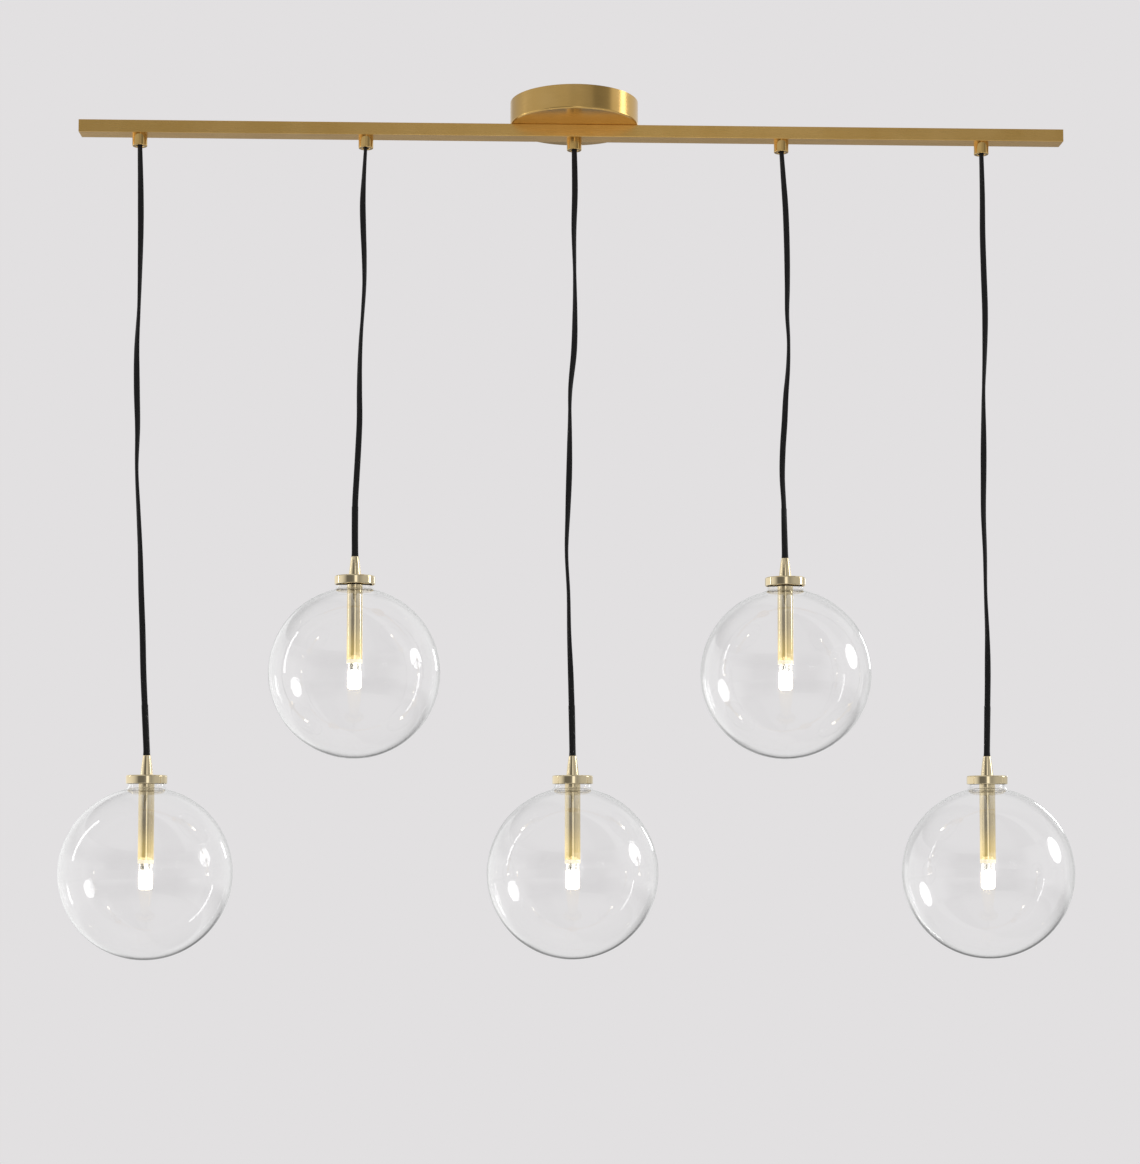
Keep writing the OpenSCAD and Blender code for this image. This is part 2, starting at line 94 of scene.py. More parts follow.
# Black sleeve shrunk on the end of each cord, with a thin edge at its top. Its foot spreads over the gland's top
SLEEVE_L = 61
SLEEVE_WALL = 0.35
SLEEVE_GROOVE = 0.05
SLEEVE_EDGE = 0.5
SLEEVE_GAP = 0.1
FLARE_L = 8
FLARE_W = 0.5
FLARE_T = 1.6

# Each cord's way from the ferrule's mouth to its gland, in equal steps of height: how far it strays along
# the bar and towards the back, and its twist in degrees
ROUTES = [
    [(0, 0, -50), (0.5, 0, -15), (0, 0.5, 25), (-1.5, 1, 60), (-3.5, 1.5, 100), (-6.5, 1, 145),
     (-7, 0.5, 190), (-6.5, -0.5, 230), (-8, -1, 275), (-6.5, -1.5, 300), (-5, -1, 320),
     (-4.5, 0, 345), (-3.5, 0.5, 365), (-3, 0.5, 370), (-1.5, 0, 375), (0, 0, 380)],
    [(0, 0, 85), (-1.5, 0, 120), (-2, -0.5, 165), (-0.5, -1, 200), (1.5, -1, 225), (2.5, -0.5, 250),
     (1.5, 0, 265), (0, 0.5, 290), (-0.5, 1, 310), (0, 1, 330), (1, 0.5, 345), (0.5, 0, 360),
     (-0.5, 0, 365), (-1.5, 0, 365), (-1, 0, 370), (0, 0, 370)],
    [(0, 0, -45), (1, 0, 0), (0, 1, 40), (1, 1.5, 85), (1.5, 1, 130), (0.5, 0.5, 180),
     (-4, 0, 240), (-4.5, -0.5, 300), (-5, -1, 350), (-6.5, -1, 400), (-8, -0.5, 440),
     (-5.5, 0, 455), (-4.5, 0.5, 475), (-2.5, 0.5, 515), (-1, 0, 545), (0, 0, 560)],
    [(0, 0, -70), (2.5, 0, -45), (4.5, -0.5, -20), (5.5, -1, -5), (6, -0.5, 10), (6, 0, 30),
     (5.5, 0.5, 55), (7, 1, 80), (6, 1, 110), (3, 0.5, 140), (1, 0, 165), (-1.5, -0.5, 185),
     (-2.5, -0.5, 205), (-1, 0, 220), (-0.5, 0, 205), (0, 0, 190)],
    [(0, 0, -75), (1, 0.5, -50), (1, 1, -35), (2, 1, -20), (3, 0.5, 0), (2, 0, 40),
     (0, -0.5, 85), (-0.5, -1, 135), (-1, -1, 185), (-1.5, -0.5, 210), (0, 0, 235),
     (0.5, 0.5, 260), (2, 0.5, 295), (2, 0, 350), (1, 0, 370), (0, 0, 380)],
]


def head_x(i):
    return PENDANT_X[i] + HEAD_LEAN[i]


def head_z(i):
    return MOUTH_Z - DROP[i]


def cord_stations(i):
    """The cord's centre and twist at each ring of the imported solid, from the collet down into the gland."""
    route = ROUTES[i]
    last = len(route) - 1
    stations = [(PENDANT_X[i], 0, COLLET_Z, route[0][2])]
    for k in range(1, last + 1):
        stray, back, twist = route[k]
        stations.append((PENDANT_X[i] + HEAD_LEAN[i] * k / last + stray, back, MOUTH_Z - DROP[i] * k / last, twist))
    stations.append((head_x(i), 0, head_z(i) - GLAND_SOCKET, route[last][2]))
    return stations


def smooth_way(stations, steps):
    """The same way with more rings, on one smooth curve through every station."""
    ends = [stations[0]] + stations + [stations[-1]]
    way = []
    for a, b, c, d in zip(ends, ends[1:], ends[2:], ends[3:]):
        for s in range(steps):
            t = s / steps
            way.append(tuple(
                0.5 * (2 * q + (r - p) * t + (2 * p - 5 * q + 4 * r - u) * t * t + (3 * q - p - 3 * r + u) * t ** 3)
                for p, q, r, u in zip(a, b, c, d)
            ))
    return way + [stations[-1]]


def finished(name, bm, material, sharp=40):
    """Makes the bmesh an object of the scene, smooth but for edges sharper than so many degrees."""
    mesh = bpy.data.meshes.new(name)
    bm.to_mesh(mesh)
    bm.free()
    mesh.shade_smooth()
    mesh.set_sharp_from_angle(angle=math.radians(sharp))
    mesh.materials.append(material)
    made = bpy.data.objects.new(name, mesh)
    scene.collection.objects.link(made)
    return made


def line_on(bm, last, radius, height):
    """Draws a lathe profile on with a straight line to a radius and a height in millimetres."""
    reached = bm.verts.new((radius * MM, 0, height * MM))
    bm.edges.new((last, reached))
    return reached


def arc_on(bm, last, centre, degrees, steps):
    """Draws a lathe profile on with an arc round a centre (radius, height), positive when it turns left."""
    swept = bmesh.ops.spin(bm, geom=[last], cent=(centre[0] * MM, 0, centre[1] * MM), axis=(0, -1, 0),
                           angle=math.radians(degrees), steps=steps)
    return next(v for v in swept["geom_last"] if isinstance(v, bmesh.types.BMVert))


def turned(bm, steps):
    """Turns the drawn profile about the vertical into a closed solid."""
    bmesh.ops.spin(bm, geom=bm.verts[:] + bm.edges[:], cent=(0, 0, 0), axis=(0, 0, 1),
                   angle=2 * math.pi, steps=steps, use_merge=True)
    bmesh.ops.remove_doubles(bm, verts=bm.verts, dist=WELD * MM)
    bmesh.ops.recalc_face_normals(bm, faces=bm.faces)
    return bm


def on_head(name, shape, i, material):
    """A copy of a shape, drawn with its gland's top at the origin, as a piece of one pendant's head."""
    bm = shape.copy()
    bmesh.ops.translate(bm, verts=bm.verts, vec=Vector((head_x(i), 0, head_z(i))) * MM)
    return finished(name, bm, material)


# ---- camera ----

YAW = math.radians(2.0)
PITCH = math.radians(3.46)
CAMERA_DISTANCE = 2.827
CAMERA_ASIDE = -0.0051
CAMERA_HEIGHT = -0.8856
SENSOR_W = 36
LENS = 72.65
LENS_SHIFT = 0.09

camera = bpy.data.objects.new("camera", bpy.data.cameras.new("camera"))
camera.location = (
    math.cos(YAW) * CAMERA_ASIDE - math.sin(YAW) * CAMERA_DISTANCE,
    -math.sin(YAW) * CAMERA_ASIDE - math.cos(YAW) * CAMERA_DISTANCE,
    CAMERA_HEIGHT,
)
camera.rotation_euler = (math.radians(90) + PITCH, 0, -YAW)
camera.data.sensor_width = SENSOR_W
camera.data.lens = LENS
camera.data.shift_y = LENS_SHIFT
scene.collection.objects.link(camera)
scene.camera = camera

# ---- materials ----


def linear(colour):
    """An sRGB hex colour as Blender's linear colour."""
    channels = [int(colour[k:k + 2], 16) / 255 for k in (1, 3, 5)]
    return tuple(c / 12.92 if c <= 0.04045 else ((c + 0.055) / 1.055) ** 2.4 for c in channels) + (1,)


def add(tree, kind, values=(), **settings):
    """Adds a node to a tree. values fills its sockets: another node's output is linked, all else is set."""
    made = tree.nodes.new(kind)
    for setting, value in settings.items():
        setattr(made, setting, value)
    for socket, value in dict(values).items():
        if isinstance(value, bpy.types.NodeSocket):
            tree.links.new(value, made.inputs[socket])
        else:
            made.inputs[socket].default_value = value
    return made


def new_material(name):
    """An empty material and its tree."""
    material = bpy.data.materials.new(name)
    material.use_nodes = True
    material.node_tree.nodes.clear()
    return material, material.node_tree


def surface(tree, shader):
    """Makes a shader's output the material's surface."""
    add(tree, "ShaderNodeOutputMaterial", {"Surface": shader})


def principled(tree, values):
    """Makes a principled shader with these values the material's surface."""
    surface(tree, add(tree, "ShaderNodeBsdfPrincipled", values).outputs["BSDF"])


def maths(tree, operation, a, b):
    """The result of one operation on two values."""
    return add(tree, "ShaderNodeMath", {0: a, 1: b}, operation=operation).outputs["Value"]


def mapped(tree, value, before, after=(0, 1), **settings):
    """Maps a value from one range to another, and stops at its ends."""
    return add(tree, "ShaderNodeMapRange", {
        "Value": value, "From Min": before[0], "From Max": before[1], "To Min": after[0], "To Max": after[1]},
        **settings).outputs["Result"]


def ramp(tree, factor, stops):
    """A colour ramp through stops of (place, hex colour)."""
    made = add(tree, "ShaderNodeValToRGB", {"Fac": factor})
    marks = made.color_ramp.elements
    while len(marks) < len(stops):
        marks.new(0.5)
    for mark, (place, colour) in zip(marks, stops):
        mark.position = place
        mark.color = linear(colour)
    return made.outputs["Color"]


def own_place(tree):
    """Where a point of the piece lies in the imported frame, in metres. It stays the same as the piece moves."""
    return add(tree, "ShaderNodeTexCoord").outputs["Object"]


def noise(tree, grain, detail=3, squeeze=(1, 1, 1)):
    """A noise over the piece with patches of about so many millimetres, drawn out on each axis that is squeezed."""
    place = add(tree, "ShaderNodeMapping", {"Vector": own_place(tree), "Scale": squeeze}).outputs["Vector"]
    return add(tree, "ShaderNodeTexNoise", {
        "Vector": place, "Scale": 1 / (grain * MM), "Detail": detail, "Roughness": 0.6}).outputs["Fac"]


def spread(tree, value, low, high):
    """Spreads the middle of a noise over a range."""
    return mapped(tree, value, (0.3, 0.7), (low, high))


def bump(tree, height, depth):
    """Relief so many millimetres deep."""
    return add(tree, "ShaderNodeBump", {"Height": height, "Distance": depth * MM}).outputs["Normal"]


def wear(part_names, material):
    """Puts a finish on CAD nodes, in place of their plain one."""
    for name in part_names:
        nodes[name].data.materials.clear()
        nodes[name].data.materials.append(material)


def each(*parts):
    """The names of these parts on all five pendants."""
    return [f"{part}_{i + 1}" for part in parts for i in PENDANTS]


def brass(name, squeeze, grain, low, high, rough, relief):
    """Brass with scratches of a grain in millimetres, drawn out by squeeze, two tones and a roughness range."""
    material, tree = new_material(name)
    lines = noise(tree, grain, squeeze=squeeze)
    principled(tree, {
        "Base Color": ramp(tree, noise(tree, 45, 2), [(0.3, low), (0.7, high)]), "Metallic": 1.0,
        "Roughness": spread(tree, lines, *rough), "Normal": bump(tree, lines, relief)})
    return material


def paint_lamp_glow(material, ends, reach, colour, strength):
    """Paints a glow of a lamp's light onto brass, as emission, from each of these heights up, in millimetres."""
    tree = material.node_tree
    shader = next(node for node in tree.nodes if node.type == "BSDF_PRINCIPLED")
    height = add(tree, "ShaderNodeSeparateXYZ", {"Vector": own_place(tree)}).outputs["Z"]
    glow = 0.0
    for end in ends:
        # The fade goes on at full strength under its end, so it is cut off there, one millimetre down
        over = maths(tree, "GREATER_THAN", height, (end - 1) * MM)
        fade = mapped(tree, height, (end * MM, (end + reach) * MM), (strength, 0), interpolation_type="SMOOTHSTEP")
        glow = maths(tree, "ADD", maths(tree, "MULTIPLY", over, fade), glow)
    shader.inputs["Emission Color"].default_value = linear(colour)
    tree.links.new(glow, shader.inputs["Emission Strength"])


# Brushed brass, linished along the bar: fine straight lines that blur what it mirrors
brushed_bar = brass("brushed_brass_bar", (0.02, 1, 1), 1.2, "#D2A961", "#DAB26C", (0.24, 0.36), 0.006)
wear(["light_bar", "end_caps"], brushed_bar)

# Spun brass of the canopy: the same finish, its lines drawn round the cup
brushed_canopy = brass("spun_brass_canopy", (0.05, 0.05, 1), 1.0, "#D3AC66", "#DBB571", (0.15, 0.24), 0.005)
wear(["canopy", "grub_screws"], brushed_canopy)

# Polished brass of the turned ferrules: near mirror, golden, with a faint haze from handling
ferrule_brass = brass("polished_brass_ferrule", (1, 1, 1), 6, "#D4AE69", "#DDBA79", (0.10, 0.16), 0.002)
wear(each("ferrule"), ferrule_brass)

# Polished pale brass of the gland, cap and stem: near mirror, the same metal with less copper in it
PALE_BRASS = ((1, 1, 1), 6, "#E5D3AC", "#EDDDB8", (0.05, 0.09), 0.001)
wear(each("gland", "cap"), brass("polished_pale_brass_head", *PALE_BRASS))

# The stems' lower ends, with a painted yellow glow of the lamps' light on them
PAINTED_GLOW_REACH = 48
stem_brass_painted_glow = brass("polished_pale_brass_stem_painted_glow", *PALE_BRASS)
paint_lamp_glow(stem_brass_painted_glow, sorted({head_z(i) + STEM_END for i in PENDANTS}), PAINTED_GLOW_REACH, "#FFD850", 0.33)
wear(each("stem"), stem_brass_painted_glow)

# Zinc-plated steel of the bracket, tubes and nuts: bluish grey, with a fine mottled sheen
zinc, tree = new_material("zinc_plated_steel_fittings")
mottle = noise(tree, 3)
principled(tree, {
    "Base Color": ramp(tree, mottle, [(0.35, "#B4B8BC"), (0.65, "#CDD0D3")]), "Metallic": 1.0,
    "Roughness": spread(tree, mottle, 0.30, 0.45), "Normal": bump(tree, mottle, 0.01)})
wear(["ceiling_bracket", "threaded_tubes", "lock_nuts"], zinc)

# Moulded nylon of the collets and the terminal block: milky white, faintly grained by its mould
nylon, tree = new_material("moulded_nylon")
grain = noise(tree, 0.5)
principled(tree, {
    "Base Color": ramp(tree, noise(tree, 8, 2), [(0.3, "#DEDBD0"), (0.7, "#E8E6DC")]),
    "Roughness": spread(tree, grain, 0.42, 0.55), "Normal": bump(tree, grain, 0.02)})
wear(["cord_collets", "terminal_block"], nylon)

# Silicone rubber of the gaskets under the caps: translucent white, soft and matt
silicone, tree = new_material("silicone_rubber_gasket")
dust = noise(tree, 0.8)
principled(tree, {
    "Base Color": ramp(tree, dust, [(0.3, "#CFCEC8"), (0.7, "#DBDAD5")]),
    "Roughness": spread(tree, dust, 0.5, 0.65), "Normal": bump(tree, dust, 0.02)})
wear(each("gasket"), silicone)

# PVC wire insulation along the bar: one core brown at the front, the other blue at the back
CORES_APART = 4
insulation, tree = new_material("pvc_wire_insulation")
back = add(tree, "ShaderNodeSeparateXYZ", {"Vector": own_place(tree)}).outputs["Y"]
side = mapped(tree, back, (-CORES_APART / 2 * MM, CORES_APART / 2 * MM))
scuffs = noise(tree, 2)
principled(tree, {
    "Base Color": ramp(tree, side, [(0.45, "#4B2D1C"), (0.55, "#21508C")]),
    "Roughness": spread(tree, scuffs, 0.3, 0.45), "Normal": bump(tree, scuffs, 0.02)})
wear(["bar_wires"], insulation)

# Woven glass-fibre sleeving on the leads in the stems: off-white, with a fine crossed weave
FIBRE_GAP = 0.6
sleeving, tree = new_material("woven_glass_fibre_sleeving")
weave = add(tree, "ShaderNodeTexVoronoi", {"Vector": own_place(tree), "Scale": 1 / (FIBRE_GAP * MM)})
fibres = weave.outputs["Distance"]
principled(tree, {
    "Base Color": ramp(tree, fibres, [(0.1, "#E6E3D6"), (0.7, "#BFBBAA")]),
    "Roughness": 0.75, "Normal": bump(tree, fibres, 0.05)})
wear(each("leads"), sleeving)

# Glazed porcelain of the lamp holders: warm white, glossy, faintly rippled, with a painted glow of the lamp's light
# in it, as emission
holder_porcelain_painted_glow, tree = new_material("glazed_porcelain_holder_painted_glow")
ripple = noise(tree, 4, 2)
principled(tree, {
    "Base Color": ramp(tree, ripple, [(0.3, "#E9E4D4"), (0.7, "#F1EDE0")]),
    "Roughness": spread(tree, ripple, 0.12, 0.22), "Normal": bump(tree, ripple, 0.02),
    "Emission Color": ramp(tree, ripple, [(0.3, "#FFE9B4"), (0.7, "#FFF1CC")]), "Emission Strength": 0.55})
wear(each("holder"), holder_porcelain_painted_glow)


def clear(name, colour, ripple_size, ripple_depth, rough=0.0):
    """Clear glass with a ripple in its surface. Lamps' rays pass it, so that it throws no dark shadow."""
    material, tree = new_material(name)
    glass = add(tree, "ShaderNodeBsdfPrincipled", {
        "Base Color": linear(colour), "Roughness": rough, "IOR": 1.5, "Transmission Weight": 1.0,
        "Normal": bump(tree, noise(tree, ripple_size, 1), ripple_depth)})
    air = add(tree, "ShaderNodeBsdfTransparent", {"Color": linear(colour)})
    shadow = add(tree, "ShaderNodeLightPath").outputs["Is Shadow Ray"]
    mixed = add(tree, "ShaderNodeMixShader", {0: shadow, 1: glass.outputs["BSDF"], 2: air.outputs["BSDF"]})
    surface(tree, mixed.outputs["Shader"])
    return material


# Blown soda-lime glass of the globes: colourless, with the slow ripple of hand-blown ware in what it mirrors
globe_glass = clear("blown_clear_glass", "#FFFFFF", 40, 0.05)
# Pinched quartz glass of the lamp's foot: clear, unevenly pressed
foot_glass = clear("pinched_quartz_foot", "#FDFDFA", 3, 0.15, 0.05)

# Frosted quartz capsule, lit: white where it faces the eye, a little warmer at its edge
lamp_light, tree = new_material("frosted_quartz_lamp_lit")
facing = add(tree, "ShaderNodeLayerWeight", {"Blend": 0.35}).outputs["Facing"]
frost = noise(tree, 0.8)
principled(tree, {
    "Base Color": ramp(tree, frost, [(0.3, "#F1EDE2"), (0.7, "#F8F5EC")]), "Roughness": 0.35,
    "Emission Color": ramp(tree, facing, [(0.2, "#FFF8EA"), (0.95, "#FFEAC0")]), "Emission Strength": 7.0,
    "Normal": bump(tree, frost, 0.03)})

# Nickel wire of the lamp's two pins: grey, drawn smooth
nickel, tree = new_material("nickel_pin_wire")
tarnish = noise(tree, 1.5)
principled(tree, {
    "Base Color": ramp(tree, tarnish, [(0.3, "#8E8B84"), (0.7, "#A8A59E")]), "Metallic": 1.0,
    "Roughness": spread(tree, tarnish, 0.25, 0.4)})

# Woven rayon braid over twin cores: nearly black, its threads crossing, paler where the light rakes the cores.
# Real threads are about 0.5 mm apart; drawn wider, so that they show at all
THREAD_GAP = 1.2
THREAD_LEAN = 35
# A wave texture draws about so many waves to the unit
WAVES = 3.2
braid, tree = new_material("woven_rayon_braid")
along = add(tree, "ShaderNodeUVMap", uv_map="weave").outputs["UV"]
crossed = []
for lean in (THREAD_LEAN, -THREAD_LEAN):
    leant = add(tree, "ShaderNodeMapping", {
        "Vector": along, "Rotation": (0, 0, math.radians(lean))}).outputs["Vector"]
    crossed.append(add(tree, "ShaderNodeTexWave", {
        "Vector": leant, "Scale": 1 / (THREAD_GAP * WAVES), "Distortion": 0.6}).outputs["Fac"])
threads = maths(tree, "MAXIMUM", *crossed)
principled(tree, {
    "Base Color": ramp(tree, threads, [(0.3, "#090909"), (0.95, "#1D1C1D")]), "Roughness": 0.7,
    "Specular IOR Level": 0.22, "Sheen Weight": 0.06, "Normal": bump(tree, threads, 0.12)})

# Heat-shrink sleeve on the cord's end: dense black polyolefin, satin, drawn faintly over the braid
shrunk, tree = new_material("polyolefin_heat_shrink")
wrinkle = noise(tree, 1.5, squeeze=(1, 1, 0.2))
principled(tree, {
    "Base Color": ramp(tree, wrinkle, [(0.3, "#060606"), (0.7, "#0C0C0D")]), "Specular IOR Level": 0.3,
    "Roughness": spread(tree, wrinkle, 0.45, 0.6), "Normal": bump(tree, wrinkle, 0.05)})

# ---- cords ----


def cord_tube(name, way, material, groove):
    """A flat twin cord as a tube of rings along a way of (x, y, z, twist, width, thickness)."""
    bm = bmesh.new()
    uv = bm.loops.layers.uv.new("weave")
    rings = []
    for x, y, z, twist, width, thick in way:
        ring = bmesh.ops.create_circle(bm, segments=CORD_SIDES, radius=1)["verts"]
        for v in ring:
            waist = 1 - groove * math.exp(-(v.co.x / GROOVE_W) ** 2)
            v.co = Vector((v.co.x * width / 2, v.co.y * thick / 2 * waist, 0)) * MM
            v.co.rotate(Matrix.Rotation(math.radians(twist), 3, "Z"))
            v.co += Vector((x, y, z)) * MM
        rings.append(ring)
    for a, b, upper, lower in zip(rings, rings[1:], way, way[1:]):
        girth = math.pi * (upper[4] + upper[5]) / 2
        for k in range(CORD_SIDES):
            beside = (k + 1) % CORD_SIDES
            face = bm.faces.new((a[k], a[beside], b[beside], b[k]))
            corners = ((k, upper), (k + 1, upper), (k + 1, lower), (k, lower))
            for loop, (step, station) in zip(face.loops, corners):
                loop[uv].uv = (girth * step / CORD_SIDES, -station[2])
    bm.faces.new(rings[0])
    bm.faces.new(rings[-1])
    bmesh.ops.recalc_face_normals(bm, faces=bm.faces)
    return finished(name, bm, material, sharp=60)


def sleeve_way(way, top):
    """The part of a cord's way that its sleeve covers, from its top edge down to the gland, with its width there."""
    foot = top - SLEEVE_L
    covered = [station for station in way if foot + SLEEVE_EDGE < station[2] < top - SLEEVE_EDGE]
    first, last = covered[0], covered[-1]
    width = CORD_W + 2 * SLEEVE_WALL
    thick = CORD_T + 2 * SLEEVE_WALL
    rings = [(*first[:2], top, first[3], CORD_W, CORD_T), (*first[:2], top - SLEEVE_EDGE, first[3], width, thick)]
    for x, y, z, twist in covered:
        flare = max(0, 1 - (z - foot) / FLARE_L) ** 2
        rings.append((x, y, z, twist, width + FLARE_W * flare, thick + FLARE_T * flare))
    return rings + [(*last[:2], foot + SLEEVE_GAP, last[3], width + FLARE_W, thick + FLARE_T)]


for i in PENDANTS:
    way = smooth_way(cord_stations(i), CORD_STEPS)
    rings = [(*station, CORD_W, CORD_T) for station in way]
    cord = cord_tube(f"cord_piece_{i + 1}", rings, braid, CORD_GROOVE)
    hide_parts(f"cord_{i + 1}")
    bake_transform(cord)
    sleeve = cord_tube(f"cord_sleeve_{i + 1}", sleeve_way(way, head_z(i) + SLEEVE_L), shrunk, SLEEVE_GROOVE)
    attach(sleeve, f"pendant_{i + 1}")

# ---- globes ----

# Steps of the lathe's arcs on the ball, on the bend into the neck and on the rounded edges, and of a turn
BALL_STEPS = 110
BEND_STEPS = 10
EDGE_STEPS = 4
GLOBE_STEPS = 160


def globe():
    """A blown globe: one wall of even thickness that turns into the neck by an arc, under a moulded ring."""
    bm = bmesh.new()
    neck = NECK_R + NECK_BLEND_R
    turn = (neck, GLOBE_Z + math.sqrt((GLOBE_R + NECK_BLEND_R) ** 2 - neck ** 2))
    shoulder = math.degrees(math.atan2(turn[1] - GLOBE_Z, turn[0]))
    bore = NECK_R - GLASS_T
    pen = arc_on(bm, bm.verts.new((0, 0, (GLOBE_Z - GLOBE_R) * MM)), (0, GLOBE_Z), 90 + shoulder, BALL_STEPS)
    pen = arc_on(bm, pen, turn, -shoulder, BEND_STEPS)
    pen = line_on(bm, pen, NECK_R, NECK_TOP - RING_FOOT)
    pen = line_on(bm, pen, RING_TIP_R, NECK_TOP - RING_FOOT + RING_TIP_R - NECK_R)
    pen = line_on(bm, pen, RING_TIP_R, NECK_TOP - RING_CHAMFER)
    pen = arc_on(bm, pen, (RING_TIP_R - RING_CHAMFER, NECK_TOP - RING_CHAMFER), 90, EDGE_STEPS)
    pen = line_on(bm, pen, bore + RING_CHAMFER, NECK_TOP)
    pen = arc_on(bm, pen, (bore + RING_CHAMFER, NECK_TOP - RING_CHAMFER), 90, EDGE_STEPS)
    pen = line_on(bm, pen, bore, turn[1])
    pen = arc_on(bm, pen, turn, shoulder, BEND_STEPS)
    arc_on(bm, pen, (0, GLOBE_Z), -90 - shoulder, BALL_STEPS)
    return turned(bm, GLOBE_STEPS)


blown = globe()
for i in PENDANTS:
    piece = on_head(f"globe_piece_{i + 1}", blown, i, globe_glass)
    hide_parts(f"globe_{i + 1}")
    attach(piece, f"glass_{i + 1}")

# ---- lamps ----


def capsule():
    """The lamp's lit capsule: a quartz tube with a rounded shoulder and tip."""
    radius = CAPSULE_D / 2
    shoulder = 2
    tip = 3.5
    bm = bmesh.new()
    pen = line_on(bm, bm.verts.new((0, 0, CAPSULE_END * MM)), radius - tip, CAPSULE_END)
    pen = arc_on(bm, pen, (radius - tip, CAPSULE_END + tip), 90, steps=8)
    pen = line_on(bm, pen, radius, FOOT_END - shoulder)
    pen = arc_on(bm, pen, (radius - shoulder, FOOT_END - shoulder), 90, steps=5)
    line_on(bm, pen, 0, FOOT_END)
    return turned(bm, steps=48)


def foot():
    """The pinched foot above the capsule, flat, with rounded edges."""
    rounding = 1.2
    bm = bmesh.new()
    bmesh.ops.create_cube(bm, size=1)
    bmesh.ops.scale(bm, verts=bm.verts, vec=(FOOT_W * MM, FOOT_T * MM, (COLLAR_END - FOOT_END) * MM))
    upright = [e for e in bm.edges if abs(e.verts[0].co.z - e.verts[1].co.z) > MM]
    bmesh.ops.bevel(bm, geom=upright, offset=rounding * MM, affect="EDGES", segments=4, profile=0.5, material=-1)
    bmesh.ops.translate(bm, verts=bm.verts, vec=(0, 0, (COLLAR_END + FOOT_END) / 2 * MM))
    return bm


def pins():
    """Two wire pins, from inside the foot up into the holder, with round tips."""
    inside = 7
    rounding = 0.3
    length = PIN_L + inside
    bm = bmesh.new()
    for side in (-1, 1):
        made = bmesh.ops.create_cone(bm, cap_ends=True, segments=16, radius1=PIN_D / 2 * MM,
                                     radius2=PIN_D / 2 * MM, depth=length * MM)["verts"]
        rim = [e for e in bm.edges if e.verts[0] in made and e.verts[0].co.z > 0 and e.verts[1].co.z > 0]
        bevelled = bmesh.ops.bevel(bm, geom=rim, offset=rounding * MM, affect="EDGES", segments=3,
                                   profile=0.5, material=-1)["verts"]
        pin = list({v for v in made if v.is_valid} | set(bevelled))
        bmesh.ops.translate(bm, verts=pin, vec=(side * PIN_GAP / 2 * MM, 0, (COLLAR_END - inside + length / 2) * MM))
    return bm


lamp_parts = [("capsule", capsule(), lamp_light), ("foot", foot(), foot_glass), ("pins", pins(), nickel)]
# The lamps' flat feet stand aslant to the bar
LAMP_TURN = 55
aslant = Matrix.Rotation(math.radians(LAMP_TURN), 3, "Z")
for part, shape, material in lamp_parts:
    bmesh.ops.rotate(shape, verts=shape.verts, cent=(0, 0, 0), matrix=aslant)
    for i in PENDANTS:
        piece = on_head(f"lamp_{part}_{i + 1}", shape, i, material)
        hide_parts(f"lamp_{i + 1}")
        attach(piece, f"light_source_{i + 1}")

# ---- light ----

# The height that the studio's lamps face, in metres
AIM_Z = -0.75


def softbox(name, azimuth, distance, height, size, level, shape="RECTANGLE"):
    """A studio lamp that faces the heads, at an azimuth from the camera's side, with its size and brightness."""
    light = bpy.data.lights.new(name, "AREA")
    light.shape = shape
    light.size, light.size_y = size
    area = light.size * light.size_y * (math.pi / 4 if shape == "ELLIPSE" else 1)
    light.energy = level * math.pi * area
    turn = math.radians(azimuth)
    lamp = bpy.data.objects.new(name, light)
    lamp.location = (distance * math.sin(turn), -distance * math.cos(turn), height)
    lamp.rotation_euler = (lamp.location - Vector((0, 0, AIM_Z))).to_track_quat("Z", "Y").to_euler()
    lamp.visible_camera = False
    scene.collection.objects.link(lamp)


softbox("softbox_right", 96, 6, 0.87, (2.3, 2.2), 3.8, "ELLIPSE")
softbox("strip_left", -100, 2, -0.12, (0.1, 1.15), 3.5)
softbox("strip_behind_right", 150, 6, 0.25, (0.42, 0.95), 4)

# The brightest that the cards and the room can be. Their ramps hold shares of it
ROOM_LEVEL = 1.4


def grey(level):
    """The hex colour that stands for a brightness in the room's ramps."""
    share = level / ROOM_LEVEL
    shown = 12.92 * share if share <= 0.0031308 else 1.055 * share ** (1 / 2.4) - 0.055
    return "#" + 3 * f"{round(255 * shown):02X}"


def walls(tree, direction, stops):
    """Brightness round the room, at angles from the camera's side: negative to its left, positive to its right."""
    ahead = maths(tree, "MULTIPLY", direction.outputs["Y"], -1.0)
    turn = maths(tree, "ARCTAN2", direction.outputs["X"], ahead)
    around = mapped(tree, turn, (-math.pi, math.pi))
    return ramp(tree, around, [(0.5 + angle / 360, grey(level)) for angle, level in stops])


def mirrored_only(tree):
    """1 on paths that a surface has mirrored, which see the room in place of the backdrop."""
    return maths(tree, "GREATER_THAN", add(tree, "ShaderNodeLightPath").outputs["Glossy Depth"], 0.5)


# Cards round the object at the camera's distance, which only its mirror-like parts see, at the heads' height:
# dark ones on the left of the camera, the lit gap beside it, and pale ones elsewhere. The canopy and the bar's
# front mirror the room above them
CARDS_R = 2.83
CARDS_SIDES = 128
CARDS_TOP = 0.6
CARDS_TOP_FADE = 0.12
CARDS_FOOT = -1.26
CARDS_FOOT_FADE = 0.15
cards_look, tree = new_material("studio_cards")
spot = add(tree, "ShaderNodeSeparateXYZ", {"Vector": own_place(tree)})
tones = walls(tree, spot, [
    (-180, 0.98), (-95, 0.98), (-83, 0.92), (-69, 0.76), (-55, 0.46), (-45, 0.18), (-18, 0.18), (-5, 0.28),
    (-1.5, 1.25), (9, 1.25), (13, 0.5), (24, 0.36), (32, 0.42), (50, 0.55), (80, 0.56), (120, 0.58), (140, 0.7)])
